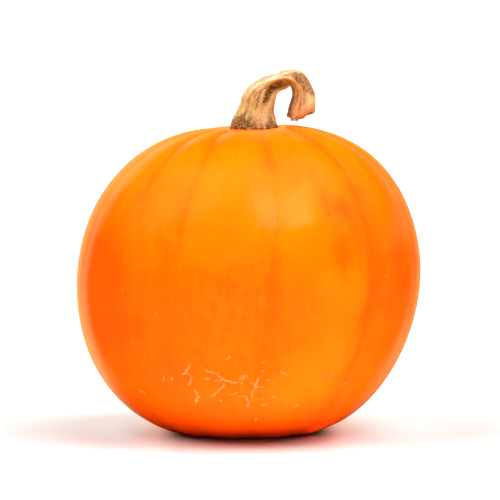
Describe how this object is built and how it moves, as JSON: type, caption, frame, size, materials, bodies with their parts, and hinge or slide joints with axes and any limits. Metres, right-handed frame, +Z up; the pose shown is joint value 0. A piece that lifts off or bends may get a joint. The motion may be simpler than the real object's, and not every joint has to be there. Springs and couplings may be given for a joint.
{
  "type": "pumpkin",
  "caption": "Small round ribbed pumpkin with a waxy orange skin and a dry woody stem hooked over to one side, resting on its own flattened underside.",
  "frame": {"origin": "on the ground plane, under the middle of the whole pumpkin's box", "axes": "+Z up through the stem, -Y the front shown in the picture, +X the side the stem hooks over to"},
  "size_m": [0.1901, 0.1895, 0.1996],
  "materials": {
    "skin": "waxy satin vegetable skin, orange",
    "stem": "dry, corky, ridged stalk, cream to brown"
  },
  "bodies": {
    "root": {"fruit": "skin", "stem": "stem"}
  },
  "joints": []
}
